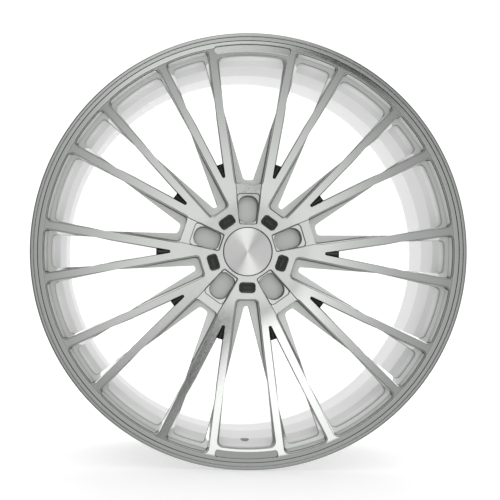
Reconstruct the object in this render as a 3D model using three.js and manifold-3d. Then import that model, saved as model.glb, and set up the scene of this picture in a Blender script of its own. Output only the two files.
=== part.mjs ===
// Forged wheel rim, 22 x 10.5 J, with a concave twenty-spoke centre bolted into a spun barrel.
//
// Units are millimetres. The wheel stands upright: the axle runs along Y, the street side faces -Y
// and +Z is up. The origin is the middle of the wheel, on the axle, half way across the rim.
//
// Every piece is drawn lying on a bench, street side up: x to the right, y up the wheel's face and
// z out along the axle. One turn about X at the end stands the wheel up.

import * as THREE from 'three';
import { mergeVertices } from 'three/addons/utils/BufferGeometryUtils.js';
import Module from 'manifold-3d';

// ---- Rim size ----
const BEAD_SEAT_DIAMETER = 563.6; // the standard bead seat of a 22 inch drop-centre rim
const RIM_WIDTH = 266.7; // 10.5 inches between the inner faces of the two flanges
const FLANGE_HEIGHT = 17.3; // J flange, above the bead seat
const FLANGE_THICKNESS = 12.6;

// ---- Barrel ----
const BARREL_WALL = 5.5;
const WELL_DROP = 12.3; // from the bead seat down to the outside of the well
const LEDGE_DROP = 3.3; // from the bead seat down to the ledge behind the well
const BEAD_SEAT_LENGTH = 20.4;
const WELL_FRONT_DEPTH = 62; // depths are taken from the street side's flange face
const WELL_REAR_DEPTH = 145;
const WELL_RAMP = 23;
const LEDGE_RAMP = 12; // from the ledge up to the rear bead seat
const LIP_WIDTH = 5; // the proud outer ring of the lip
const LIP_GROOVE_WIDTH = 0.9;
const LIP_GROOVE_DEPTH = 1;
const LIP_BAND_DROP = 1.2; // the lip's inner band lies this far below its outer ring
const REGISTER_DEPTH = 8; // recess in the flange that the centre's ring sits in
const REGISTER_FLOOR_INSET = 2.6; // the register's floor runs this far in under the centre's ring
const SEAT_WALL_LENGTH = 21; // the sloping inside wall under the front bead seat
const SEAT_WALL_RISE = 6.6; // from the inside of the well out to the foot of that wall
const EDGE_CHAMFER = 1.6; // on the flanges' outer edges
const FLANGE_EDGE = 8; // width of the flanges' outer edge
const SEAT_FILLET = 3; // where a flange meets its bead seat
const REAR_CHAMFER = 5; // inside the rear flange
const VALVE_HOLE_DIAMETER = 11.3;
const VALVE_HOLE_DEPTH = 60;

// ---- Centre: ring, spokes and hub ----
const SPOKE_SETS = 5; // sets of four spokes, one set at each lug pocket
const RING_OUTER_INSET = 10.6; // from the flange's edge to the outside of the centre's ring
const RING_FACE_WIDTH = 6.1;
const RING_FACE_DROP = 2; // the ring's face below the flange face
const RING_PLATE = 5.7; // the ring's thickness where it sits in the register
const CONCAVITY = 44; // from the ring's face down to the hub's face
const SPOKE_FOOT_DEPTH = 36; // from the ring's face to the back of a spoke's foot
const SPOKE_FACE_WIDTH = 9.6;
const SPOKE_ANGLES = [11.4, 26.3]; // each spoke's foot, degrees from its lug pocket
const CROTCH_ANGLE = 18.7; // where the two spokes of an arm part
const CROTCH_RADIUS = 99;
const MOUNT_FACE_OFFSET = 45; // from the rim's middle out to the hub's mounting face
const MOUNT_FACE_RADIUS = 78;
const FOOT_CORNER = 2.7; // chamfer behind the spoke's foot, beside the barrel's wall
const BACK_STEP = 6; // from the mounting face to where the sloping back begins, out and up
const FOOT_BACK_LENGTH = 14; // flat back of a spoke's foot, in from the bolt circle
const HUB_BORE_DIAMETER = 66.6;

// ---- Windows at the hub: A over a lug pocket, B between two lug pockets ----
const WINDOW_A = { inner: 93.2, half: 19.5, rearInner: 101.6, rearHalf: 7.1, meet: 200, flare: 3 };
const WINDOW_B = { inner: 66.8, half: 15.8, rearInner: 77, rearHalf: 3.4, meet: 186, flare: 3 };
const WINDOW_C = { inner: 109.1, rearInner: 126, meet: 217, flare: 7.5, fillet: 1.6 };
const WINDOW_FILLET = 6;
const NAME_SLOT = { width: 9.5, depth: 4, margin: 3.6, fillet: 4, half: [10.8, 8.8] }; // half angles, degrees
const NAME_SLOT_RING = 11.4; // how much wider the ring is where it carries a slot

// ---- Lug pockets; a wall is the metal left between the cap's edge and a pocket or insert ----
const POCKET = {
  outer: 83,
  wall: 4.8,
  outerHalf: 17.4,
  innerHalf: 12.2,
  depth: 8,
  fillet: 5,
  innerFillet: 3,
};
const SEAT = { // oval well in the pocket's floor
  half: 14.7,
  innerHalf: 11.5,
  outer: 79.2,
  inset: 2.9,
  depth: 22,
  innerFillet: 7.4,
};
const BRIDGE = { drop: 3, half: 18.5, innerHalf: 17.5, run: 4 }; // the step out to window A

// ---- Black inserts ----
const HUB_INSERT = { width: 21.9, wall: 9.7, length: 14.2, fillet: 4.5, depth: 7, sunk: 0.8 };
const WEDGE_INSERT = { inner: 109.4, outer: 128.8, depth: 11, sunk: 1.2, fillet: 1.2 };

// ---- Centre cap ----
const CAP_SKIRT_RADIUS = 30;
const CAP_OVERHANG = 3.8; // the cap's plate, outside its skirt
const CAP_PLATE = 4.5;
const CAP_SINK = 0.8; // the cap's face below the hub's face
const CAP_SKIRT_WALL = 3.2;
const CAP_SKIRT_LENGTH = 17;
const CAP_RING_SECTION = 2; // diameter of the retaining ring's wire
const CAP_GROOVE_OFFSET = 6; // from the skirt's end up to the far side of the ring's groove
const CAP_CLEARANCE = 0.5; // round the cap's edge
const CAP_BORE_CLEARANCE = 1; // round the cap's skirt
const CAP_CHAMFER = 0.8;
const CAP_BORE_STEP = 2; // the cap's bore past the skirt's end, and then its chamfer

// ---- Assembly bolts ----
const BOLT_DIAMETER = 8;
const BOLT_GRIP = 14; // thread in the spoke's foot
const BOLT_HEAD_HEIGHT = 6.4;
const BOLT_HEAD_WIDTH = 13; // across flats
const BOLT_HEAD_CLEARANCE = 0.8; // from a head's corners to the inside of the well
const TAB_THICKNESS = 11.7;
const TAB_WIDTH = 16;
const TAB_REACH = 7.5; // from the bolt circle in to the tab's end
const TAB_ROOT = 2.5; // how far a tab runs into the barrel's wall
const TAB_FILLET = 4;
const HOLE_RUN = 2; // a bolt hole past the end of its bolt

const GAP = 0.3; // between pieces that touch
const TURN_STEPS = 60; // sides of a large turned piece
const CAP_STEPS = 32;
const SMALL_STEPS = 20;
const FAR = 40; // how far a cutting tool runs past what it cuts

// ---- Levels and radii that follow from the sizes above ----
const beadSeatRadius = BEAD_SEAT_DIAMETER / 2;
const flangeRadius = beadSeatRadius + FLANGE_HEIGHT;
const flangeRoot = RIM_WIDTH / 2;
const frontFace = flangeRoot + FLANGE_THICKNESS;
const rearFace = -frontFace;
const registerLevel = frontFace - REGISTER_DEPTH;
const ringOuter = flangeRadius - RING_OUTER_INSET;
const ringInner = ringOuter - RING_FACE_WIDTH;
const ringLevel = frontFace - RING_FACE_DROP;
const ringBack = ringLevel - RING_PLATE;
const footBack = ringLevel - SPOKE_FOOT_DEPTH;
const hubLevel = ringLevel - CONCAVITY;
const wellOuter = beadSeatRadius - WELL_DROP;
const wellInner = wellOuter - BARREL_WALL;
const ledgeOuter = beadSeatRadius - LEDGE_DROP;
const ledgeInner = ledgeOuter - BARREL_WALL;
const seatWallTop = ringInner - REGISTER_FLOOR_INSET;
const seatWallFoot = wellInner + SEAT_WALL_RISE;
const registerOuter = ringOuter + GAP;
const seatWallFootLevel = ringBack - SEAT_WALL_LENGTH;
const windowRear = seatWallFoot + 1;
const boltHeadRadius = BOLT_HEAD_WIDTH / 2 / Math.cos(Math.PI / 6);
const boltCircle = wellInner - BOLT_HEAD_CLEARANCE - boltHeadRadius;
const hubBoreRadius = HUB_BORE_DIAMETER / 2;
const capBoreRadius = CAP_SKIRT_RADIUS + CAP_BORE_CLEARANCE;
const capRadius = CAP_SKIRT_RADIUS + CAP_OVERHANG;
const pocketInner = capRadius + POCKET.wall;
const seatInner = pocketInner + SEAT.inset;
const hubInsertInner = capRadius + HUB_INSERT.wall;
const capFace = hubLevel - CAP_SINK;
const capBack = capFace - CAP_PLATE;
const capLedge = capBack - GAP;
const skirtEnd = capBack - CAP_SKIRT_LENGTH;
const grooveTop = skirtEnd + CAP_GROOVE_OFFSET;
const pocketFloor = hubLevel - POCKET.depth;
const halfStep = 180 / TURN_STEPS; // turns a flat of the large turned pieces to the bottom
const flatFaceRadius = 60; // the hub's face is flat out to here and the concave sweep begins

const wasm = await Module();
wasm.setup();

const toRadians = THREE.MathUtils.degToRad;

// ---- Small helpers ----

function polar(radius, degrees) {
  const angle = toRadians(degrees);
  return new THREE.Vector2(radius * Math.cos(angle), radius * Math.sin(angle));
}

function faceLevel(radius) {
  const sweep = Math.max(0, radius - flatFaceRadius) / (ringInner - flatFaceRadius);
  return Math.min(ringLevel, hubLevel + CONCAVITY * sweep * sweep);
}

const backStart = { radius: MOUNT_FACE_RADIUS + BACK_STEP, level: MOUNT_FACE_OFFSET + BACK_STEP };
const backEnd = { radius: boltCircle - FOOT_BACK_LENGTH, level: footBack };

function backLevel(radius) {
  const share = (radius - backStart.radius) / (backEnd.radius - backStart.radius);
  return THREE.MathUtils.lerp(backStart.level, backEnd.level, THREE.MathUtils.clamp(share, 0, 1));
}

function toSolid(geometry) {
  const bare = geometry.clone();
  bare.deleteAttribute('normal');
  bare.deleteAttribute('uv');
  const merged = mergeVertices(bare, 1e-4);
  const vertProperties = new Float32Array(merged.attributes.position.array);
  const triVerts = new Uint32Array(merged.index.array);
  return new wasm.Manifold(new wasm.Mesh({ numProp: 3, vertProperties, triVerts }));
}

function toGeometry(solid) {
  const { vertProperties, triVerts, numProp } = solid.getMesh();
  if (numProp !== 3) {
    throw new Error('a solid should hold positions only');
  }
  const geometry = new THREE.BufferGeometry();
  geometry.setAttribute('position', new THREE.BufferAttribute(new Float32Array(vertProperties), 3));
  geometry.setIndex(new THREE.BufferAttribute(new Uint32Array(triVerts), 1));
  geometry.computeVertexNormals();
  return geometry;
}

// A turned piece from a closed profile of [radius, level] points, its axis along z.
function turned(profile, steps = SMALL_STEPS) {
  const points = profile.map(([radius, level]) => new THREE.Vector2(radius, level));
  points.push(points[0].clone());
  if (!THREE.ShapeUtils.isClockWise(points)) {
    return new THREE.LatheGeometry(points, steps).rotateX(Math.PI / 2);
  }
  return new THREE.LatheGeometry(points.reverse(), steps).rotateX(Math.PI / 2);
}

// A straight-sided piece from an outline in x and y, between two levels.
function prism(outline, low, high) {
  const shape = new THREE.Shape(outline);
  const options = { depth: high - low, bevelEnabled: false, steps: 1 };
  return new THREE.ExtrudeGeometry(shape, options).translate(0, 0, low);
}

// Rounds the corners of an outline. Each corner is { at, fillet }, and a fillet of 0 keeps it sharp.
function rounded(corners, steps = 3) {
  const outline = [];
  corners.forEach(({ at, fillet }, index) => {
    if (!fillet) {
      outline.push(at.clone());
      return;
    }
    const before = corners.at(index - 1).at;
    const after = corners[(index + 1) % corners.length].at;
    const toBefore = before.clone().sub(at).normalize();
    const toAfter = after.clone().sub(at).normalize();
    const halfTurn = Math.acos(THREE.MathUtils.clamp(toBefore.dot(toAfter), -1, 1)) / 2;
    const room = 0.45 * Math.min(before.distanceTo(at), after.distanceTo(at));
    const reach = Math.min(fillet / Math.tan(halfTurn), room);
    const radius = reach * Math.tan(halfTurn);
    const bisector = toBefore.clone().add(toAfter).normalize();
    const centre = at.clone().addScaledVector(bisector, radius / Math.sin(halfTurn));
    const start = at.clone().addScaledVector(toBefore, reach).sub(centre);
    const end = at.clone().addScaledVector(toAfter, reach).sub(centre);
    const sweep = Math.atan2(start.cross(end), start.dot(end));
    for (let step = 0; step <= steps; step += 1) {
      outline.push(start.clone().rotateAround(new THREE.Vector2(), (sweep * step) / steps).add(centre));
    }
  });
  return outline;
}

// A closed piece through matching rings of points, capped flat at its two ends.
function loft(rings) {
  const count = rings[0].length;
  const positions = rings.flat().flatMap((point) => [point.x, point.y, point.z]);
  const index = [];
  for (let ring = 0; ring + 1 < rings.length; ring += 1) {
    for (let step = 0; step < count; step += 1) {
      const next = (step + 1) % count;
      const [a, b] = [ring * count + step, ring * count + next];
      const [c, d] = [a + count, b + count];
      index.push(a, b, d, a, d, c);
    }
  }
  const flat = (ring) => ring.map((point) => new THREE.Vector2(point.x, point.y));
  const top = (rings.length - 1) * count;
  for (const [a, b, c] of THREE.ShapeUtils.triangulateShape(flat(rings[0]), [])) {
    index.push(c, b, a);
  }
  for (const [a, b, c] of THREE.ShapeUtils.triangulateShape(flat(rings.at(-1)), [])) {
    index.push(top + a, top + b, top + c);
  }
  const geometry = new THREE.BufferGeometry();
  geometry.setAttribute('position', new THREE.Float32BufferAttribute(positions, 3));
  geometry.setIndex(index);
  return geometry;
}

function spun(solid, degrees) {
  return solid.rotate([0, 0, degrees]);
}

// ---- Barrel ----

function barrelProfile() {
  const rampLevel = frontFace - WELL_FRONT_DEPTH;
  const rampFoot = frontFace - WELL_REAR_DEPTH;
  const seatEnd = flangeRoot - BEAD_SEAT_LENGTH;
  const bandLevel = frontFace - LIP_BAND_DROP;
  const grooveOuter = flangeRadius - LIP_WIDTH;
  const grooveInner = grooveOuter - LIP_GROOVE_WIDTH;
  return [
    [registerOuter, registerLevel],
    [registerOuter, bandLevel],
    [grooveInner, bandLevel],
    [grooveInner, bandLevel - LIP_GROOVE_DEPTH],
    [grooveOuter, bandLevel - LIP_GROOVE_DEPTH],
    [grooveOuter, frontFace],
    [flangeRadius - EDGE_CHAMFER, frontFace],
    [flangeRadius, frontFace - EDGE_CHAMFER],
    [flangeRadius, frontFace - FLANGE_EDGE],
    [flangeRadius - SEAT_FILLET, flangeRoot],
    [beadSeatRadius + SEAT_FILLET, flangeRoot],
    [beadSeatRadius, flangeRoot - SEAT_FILLET],
    [beadSeatRadius, seatEnd],
    [wellOuter, rampLevel],
    [wellOuter, rampFoot],
    [ledgeOuter, rampFoot - WELL_RAMP],
    [ledgeOuter, -seatEnd + LEDGE_RAMP],
    [beadSeatRadius, -seatEnd],
    [beadSeatRadius, SEAT_FILLET - flangeRoot],
    [beadSeatRadius + SEAT_FILLET, -flangeRoot],
    [flangeRadius - SEAT_FILLET, -flangeRoot],
    [flangeRadius, rearFace + FLANGE_EDGE],
    [flangeRadius, rearFace + EDGE_CHAMFER],
    [flangeRadius - EDGE_CHAMFER, rearFace],
    [ledgeInner + REAR_CHAMFER, rearFace],
    [ledgeInner, rearFace + REAR_CHAMFER],
    [ledgeInner, rampFoot - WELL_RAMP],
    [wellInner, rampFoot],
    [wellInner, rampLevel],
    [seatWallFoot, seatWallFootLevel],
    [seatWallTop, registerLevel],
  ];
}

// The tabs behind the spokes' feet, with a clearance hole for each assembly bolt.
function mountingTab(degrees) {
  const top = footBack - GAP;
  const inner = boltCircle - TAB_REACH;
  const outer = seatWallFoot + TAB_ROOT;
  const outline = rounded([
    { at: new THREE.Vector2(inner, -TAB_WIDTH / 2), fillet: TAB_FILLET },
    { at: new THREE.Vector2(outer, -TAB_WIDTH / 2), fillet: 0 },
    { at: new THREE.Vector2(outer, TAB_WIDTH / 2), fillet: 0 },
    { at: new THREE.Vector2(inner, TAB_WIDTH / 2), fillet: TAB_FILLET },
  ], 2);
  return spun(toSolid(prism(outline, top - TAB_THICKNESS, top)), degrees);
}

function boltHole(degrees, radius, low, high) {
  const cutter = new THREE.CylinderGeometry(radius, radius, high - low, 8).rotateX(Math.PI / 2);
  cutter.translate(boltCircle, 0, (low + high) / 2);
  return spun(toSolid(cutter), degrees);
}

function makeBarrel() {
  let solid = spun(toSolid(turned(barrelProfile(), TURN_STEPS)), halfStep);
  for (const degrees of boltAngles) {
    solid = solid.add(mountingTab(degrees));
  }
  for (const degrees of boltAngles) {
    const low = footBack - TAB_THICKNESS - FAR;
    solid = solid.subtract(boltHole(degrees, BOLT_DIAMETER / 2 + GAP, low, footBack + GAP));
  }
  const valve = new THREE.CylinderGeometry(
    VALVE_HOLE_DIAMETER / 2, VALVE_HOLE_DIAMETER / 2, FAR, SMALL_STEPS,
  );
  valve.translate(0, -wellOuter, frontFace - VALVE_HOLE_DEPTH);
  return solid.subtract(toSolid(valve));
}

// ---- Spoke layout ----

const faceHalfAngle = THREE.MathUtils.radToDeg(Math.asin(SPOKE_FACE_WIDTH / 2 / ringInner));
const setAngle = 360 / SPOKE_SETS;
const betweenSets = setAngle / 2;

// Where one side of a window meets the ring on the face, and behind, flared into the window.
function sideFeet(degrees, towards, flare, outer) {
  const flareAngle = THREE.MathUtils.radToDeg(flare / windowRear) * towards;
  return { face: polar(outer, degrees), rear: polar(windowRear, degrees + flareAngle) };
}

// The point where a side's rear edge joins its face edge, this far out along the side.
function meetingPoint(start, end, radius) {
  const share = (radius - start.length()) / (end.length() - start.length());
  return start.clone().lerp(end, share);
}

function pointsAlong(start, end, steps) {
  const points = [];
  for (let step = 0; step < steps; step += 1) {
    points.push(start.clone().lerp(end, step / steps));
  }
  return points;
}

// One window: its outline on the face and behind, from two sides that run out to the ring.
// side is { inner, rearInner, degrees, towards, flare, meet }, the left one first.
function windowCutter([left, right], outer, fillet, filletSteps) {
  const faceCorners = [];
  const rearCorners = [];
  const add = (face, rear, round) => {
    faceCorners.push({ at: face, fillet: round });
    rearCorners.push({ at: rear, fillet: round });
  };
  const addSide = (side, outward) => {
    const feet = sideFeet(side.degrees, side.towards, side.flare, outer);
    const meet = meetingPoint(side.inner, feet.face, side.meet);
    const face = [...pointsAlong(side.inner, meet, 2), ...pointsAlong(meet, feet.face, 2), feet.face];
    const rear = [...pointsAlong(side.rearInner, meet, 2), ...pointsAlong(meet, feet.rear, 2), feet.rear];
    const order = face.map((_, step) => (outward ? step : face.length - 1 - step));
    for (const step of order) {
      const isEnd = step === 0 || step === face.length - 1;
      add(face[step], rear[step], isEnd ? fillet : 0);
    }
  };
  addSide(right, true);
  for (let step = 1; step < 3; step += 1) {
    const degrees = THREE.MathUtils.lerp(right.degrees, left.degrees, step / 3);
    add(polar(outer, degrees), polar(windowRear, degrees), 0);
  }
  addSide(left, false);
  const face = rounded(faceCorners, filletSteps);
  const rear = rounded(rearCorners, filletSteps);
  const at = (point, level) => new THREE.Vector3(point.x, point.y, level);
  return toSolid(loft([
    rear.map((point) => at(point, MOUNT_FACE_OFFSET - FAR)),
    rear.map((point) => at(point, backLevel(point.length()))),
    face.map((point) => at(point, faceLevel(point.length()))),
    face.map((point) => at(point, ringLevel + FAR)),
  ]));
}

// A window that is the same on both sides of its axis, which points at `degrees`.
function evenWindow(size, edgeAngle, degrees, outer) {
  const corner = (radius, half, side) => {
    const point = new THREE.Vector2(radius, side * half);
    return point.rotateAround(new THREE.Vector2(), toRadians(degrees));
  };
  const sides = [1, -1].map((side) => ({
    inner: corner(size.inner, size.half, side),
    rearInner: corner(size.rearInner, size.rearHalf, side),
    degrees: degrees + side * edgeAngle,
    towards: -side,
    flare: size.flare,
    meet: size.meet,
  }));
  return windowCutter(sides, outer, WINDOW_FILLET, 2);
}

// The narrow window between the two spokes of one arm. hand is 1 or -1 for the arm's side.
function narrowWindow(lugAngle, hand) {
  const axis = lugAngle + hand * CROTCH_ANGLE;
  const crotch = polar(CROTCH_RADIUS, axis);
  const [near, far] = SPOKE_ANGLES;
  const edges = [near + faceHalfAngle, far - faceHalfAngle].map((angle) => lugAngle + hand * angle);
  edges.sort((a, b) => b - a);
  return edges.map((degrees, order) => {
    const foot = polar(ringInner, degrees);
    return {
      inner: meetingPoint(crotch, foot, WINDOW_C.inner),
      rearInner: meetingPoint(crotch, foot, WINDOW_C.rearInner),
      degrees,
      towards: order === 0 ? -1 : 1,
      flare: WINDOW_C.flare,
      meet: WINDOW_C.meet,
    };
  });
}

const spokeEdgeA = SPOKE_ANGLES[0] - faceHalfAngle;
const spokeEdgeB = betweenSets - SPOKE_ANGLES[1] - faceHalfAngle;
const lugAngles = Array.from({ length: SPOKE_SETS }, (_, set) => 90 + set * setAngle);

// Each bolt stands in the middle of its spoke's foot, which flares more on its narrow-window side.
const footShift = THREE.MathUtils.radToDeg((WINDOW_C.flare - WINDOW_A.flare) / 2 / windowRear);
const boltAngles = lugAngles.flatMap((lugAngle) => [1, -1].flatMap((hand) => [
  lugAngle + hand * (SPOKE_ANGLES[0] + footShift),
  lugAngle + hand * (SPOKE_ANGLES[1] - footShift),
]));

// ---- Wheel centre ----

function centreProfile() {
  const face = [];
  const faceSteps = 4;
  for (let step = 0; step <= faceSteps; step += 1) {
    const radius = THREE.MathUtils.lerp(ringInner, flatFaceRadius, step / faceSteps);
    face.push([radius, faceLevel(radius)]);
  }
  return [
    [hubBoreRadius, MOUNT_FACE_OFFSET],
    [MOUNT_FACE_RADIUS, MOUNT_FACE_OFFSET],
    [backStart.radius, backStart.level],
    [backEnd.radius, backEnd.level],
    [seatWallFoot - FOOT_CORNER, footBack],
    [seatWallFoot - GAP, seatWallFootLevel],
    [seatWallTop - GAP, ringBack],
    [ringOuter, ringBack],
    [ringOuter, ringLevel],
    ...face,
    [capRadius + CAP_CLEARANCE, hubLevel],
    [capRadius + CAP_CLEARANCE, capLedge],
    [capBoreRadius, capLedge],
    [capBoreRadius, skirtEnd - CAP_BORE_STEP],
    [hubBoreRadius, skirtEnd - 2 * CAP_BORE_STEP],
  ];
}

function lugPocket(lugAngle) {
  const along = (radius, half, fillet) => ({ at: new THREE.Vector2(radius, half), fillet });
  const walls = rounded([
    along(pocketInner, -POCKET.innerHalf, POCKET.innerFillet),
    along(POCKET.outer, -POCKET.outerHalf, POCKET.fillet),
    along(POCKET.outer, POCKET.outerHalf, POCKET.fillet),
    along(pocketInner, POCKET.innerHalf, POCKET.innerFillet),
  ]);
  const pad = rounded([
    along(seatInner, -SEAT.innerHalf, SEAT.innerFillet),
    along(SEAT.outer, -SEAT.half, SEAT.half),
    along(SEAT.outer, SEAT.half, SEAT.half),
    along(seatInner, SEAT.innerHalf, SEAT.innerFillet),
  ]);
  const bridgeEnd = WINDOW_A.inner + BRIDGE.run;
  const bridge = rounded([
    along(POCKET.outer - BRIDGE.run, -BRIDGE.innerHalf, 0),
    along(bridgeEnd, -BRIDGE.half, 0),
    along(bridgeEnd, BRIDGE.half, 0),
    along(POCKET.outer - BRIDGE.run, BRIDGE.innerHalf, 0),
  ]);
  const top = ringLevel;
  const cut = toSolid(prism(walls, pocketFloor, top))
    .add(toSolid(prism(pad, pocketFloor - SEAT.depth, top)))
    .add(toSolid(prism(bridge, hubLevel - BRIDGE.drop, top)));
  return spun(cut, lugAngle);
}

function hubInsertOutline(margin) {
  const half = HUB_INSERT.width / 2 + margin;
  const fillet = HUB_INSERT.fillet + margin;
  const low = hubInsertInner - margin;
  const high = hubInsertInner + HUB_INSERT.length + margin;
  return rounded([
    { at: new THREE.Vector2(low, -half), fillet },
    { at: new THREE.Vector2(high, -half), fillet },
    { at: new THREE.Vector2(high, half), fillet },
    { at: new THREE.Vector2(low, half), fillet },
  ]);
}

// The wedge that fills the crotch of an arm, drawn in from the sides of its narrow window.
function wedgeOutline(lugAngle, hand, inset) {
  const sides = narrowWindow(lugAngle, hand);
  const edges = (radius) => sides.map((side) => (
    meetingPoint(side.inner, polar(ringInner, side.degrees), radius)
  ));
  const [leftInner, rightInner] = edges(WEDGE_INSERT.inner - GAP + inset);
  const [leftOuter, rightOuter] = edges(WEDGE_INSERT.outer + GAP - inset);
  const drawnIn = (from, to) => from.clone().add(to.clone().sub(from).setLength(inset));
  return rounded([
    { at: drawnIn(rightInner, leftInner), fillet: WEDGE_INSERT.fillet },
    { at: drawnIn(rightOuter, leftOuter), fillet: 0 },
    { at: drawnIn(leftOuter, rightOuter), fillet: 0 },
    { at: drawnIn(leftInner, rightInner), fillet: WEDGE_INSERT.fillet },
  ]);
}

const wedgeTop = faceLevel((WEDGE_INSERT.inner + WEDGE_INSERT.outer) / 2) - WEDGE_INSERT.sunk;
const wedgeFloor = wedgeTop - WEDGE_INSERT.depth;

function nameSlot(degrees, half) {
  const inner = ringInner - NAME_SLOT_RING + NAME_SLOT.margin;
  const outer = inner + NAME_SLOT.width;
  const corners = [];
  const steps = 5;
  for (let step = 0; step <= steps; step += 1) {
    const at = polar(outer, THREE.MathUtils.lerp(-half, half, step / steps));
    corners.push({ at, fillet: step % steps ? 0 : NAME_SLOT.fillet });
  }
  for (let step = 0; step <= steps; step += 1) {
    const at = polar(inner, THREE.MathUtils.lerp(half, -half, step / steps));
    corners.push({ at, fillet: step % steps ? 0 : NAME_SLOT.fillet });
  }
  return spun(toSolid(prism(rounded(corners), ringLevel - NAME_SLOT.depth, ringLevel + FAR)), degrees);
}

function makeCentre() {
  let solid = spun(toSolid(turned(centreProfile(), TURN_STEPS)), halfStep);
  lugAngles.forEach((lugAngle) => {
    const isTop = Math.abs(lugAngle - 90) < 1;
    const opposite = lugAngle + betweenSets;
    const isBottom = Math.abs(opposite - 270) < 1;
    const outerA = isTop ? ringInner - NAME_SLOT_RING : ringInner;
    const outerB = isBottom ? ringInner - NAME_SLOT_RING : ringInner;
    solid = solid.subtract(evenWindow(WINDOW_A, spokeEdgeA, lugAngle, outerA));
    solid = solid.subtract(evenWindow(WINDOW_B, spokeEdgeB, opposite, outerB));
    for (const hand of [1, -1]) {
      solid = solid.subtract(windowCutter(narrowWindow(lugAngle, hand), ringInner, WINDOW_C.fillet, 1));
      const seat = prism(wedgeOutline(lugAngle, hand, 0), wedgeFloor - GAP, ringLevel);
      solid = solid.subtract(toSolid(seat));
    }
    solid = solid.subtract(lugPocket(lugAngle));
    const insertFloor = hubLevel - HUB_INSERT.depth - GAP;
    const pocket = toSolid(prism(hubInsertOutline(GAP), insertFloor, ringLevel));
    solid = solid.subtract(spun(pocket, opposite));
  });
  solid = solid.subtract(nameSlot(90, NAME_SLOT.half[0]));
  solid = solid.subtract(nameSlot(270, NAME_SLOT.half[1]));
  for (const degrees of boltAngles) {
    const high = footBack + BOLT_GRIP + HOLE_RUN;
    solid = solid.subtract(boltHole(degrees, BOLT_DIAMETER / 2 + GAP, footBack - FAR, high));
  }
  return solid;
}

// ---- Fitted pieces ----

function makeCapGeometry() {
  const inner = CAP_SKIRT_RADIUS - CAP_SKIRT_WALL;
  const grooveFloor = capBoreRadius - GAP - CAP_RING_SECTION - GAP;
  const grooveFoot = grooveTop - CAP_RING_SECTION - 2 * GAP;
  return turned([
    [0, capBack],
    [inner, capBack],
    [inner, skirtEnd],
    [CAP_SKIRT_RADIUS - CAP_CHAMFER, skirtEnd],
    [CAP_SKIRT_RADIUS, skirtEnd + CAP_CHAMFER],
    [CAP_SKIRT_RADIUS, grooveFoot],
    [grooveFloor, grooveFoot],
    [grooveFloor, grooveTop],
    [CAP_SKIRT_RADIUS, grooveTop],
    [CAP_SKIRT_RADIUS, capBack],
    [capRadius, capBack],
    [capRadius, capFace - CAP_CHAMFER],
    [capRadius - CAP_CHAMFER, capFace],
    [0, capFace],
  ], CAP_STEPS);
}

function makeRetainingRing() {
  const section = CAP_RING_SECTION / 2;
  const major = capBoreRadius - GAP - section;
  const level = grooveTop - GAP - section;
  return new THREE.TorusGeometry(major, section, 6, CAP_STEPS).translate(0, 0, level);
}

function makeBolt() {
  const headTop = footBack - GAP - TAB_THICKNESS - GAP;
  const head = new THREE.CylinderGeometry(boltHeadRadius, boltHeadRadius, BOLT_HEAD_HEIGHT, 6);
  head.rotateX(Math.PI / 2).translate(0, 0, headTop - BOLT_HEAD_HEIGHT / 2);
  const shankFoot = headTop - BOLT_HEAD_HEIGHT / 2;
  const length = footBack + BOLT_GRIP - shankFoot;
  const shank = new THREE.CylinderGeometry(BOLT_DIAMETER / 2, BOLT_DIAMETER / 2, length, 8);
  shank.rotateX(Math.PI / 2).translate(0, 0, shankFoot + length / 2);
  return toGeometry(toSolid(head).add(toSolid(shank)));
}

// ---- Finishes ----

function finish(color, roughness, metalness) {
  return () => new THREE.MeshStandardMaterial({ color, roughness, metalness });
}

const brushedFace = finish(0xc6c8c6, 0.34, 1);
const satinBarrel = finish(0xd6d7d5, 0.42, 1);
const spunCap = finish(0xd2d2d0, 0.25, 1);
const blackInsert = finish(0x2b2c2c, 0.5, 0);
const springWire = finish(0x8f9192, 0.35, 1);
const zincBolt = finish(0xa9acad, 0.4, 1);

// ---- The wheel ----

const wheel = new THREE.Group();

function addPiece(name, geometry, material, degrees = 0, radius = 0) {
  const mesh = new THREE.Mesh(geometry, material());
  mesh.name = name;
  const place = polar(radius, degrees);
  mesh.position.set(place.x, place.y, 0);
  mesh.rotation.z = toRadians(degrees);
  wheel.add(mesh);
}

addPiece('barrel', toGeometry(makeBarrel()), satinBarrel);
addPiece('wheel_centre', toGeometry(makeCentre()), brushedFace);
addPiece('centre_cap', makeCapGeometry(), spunCap);
addPiece('cap_retaining_ring', makeRetainingRing(), springWire);

lugAngles.forEach((lugAngle, set) => {
  const top = hubLevel - HUB_INSERT.sunk;
  const insert = prism(hubInsertOutline(0), hubLevel - HUB_INSERT.depth, top);
  addPiece(`hub_insert_${set + 1}`, insert, blackInsert, lugAngle + betweenSets);
  [1, -1].forEach((hand, side) => {
    const outline = wedgeOutline(lugAngle, hand, GAP);
    const wedge = prism(outline, wedgeFloor, wedgeTop);
    addPiece(`spoke_wedge_${2 * set + side + 1}`, wedge, blackInsert);
  });
});

boltAngles.forEach((degrees, index) => {
  addPiece(`assembly_bolt_${index + 1}`, makeBolt(), zincBolt, degrees, boltCircle);
});

wheel.rotation.x = Math.PI / 2;

export default wheel;
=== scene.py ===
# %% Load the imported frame
import math

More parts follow.
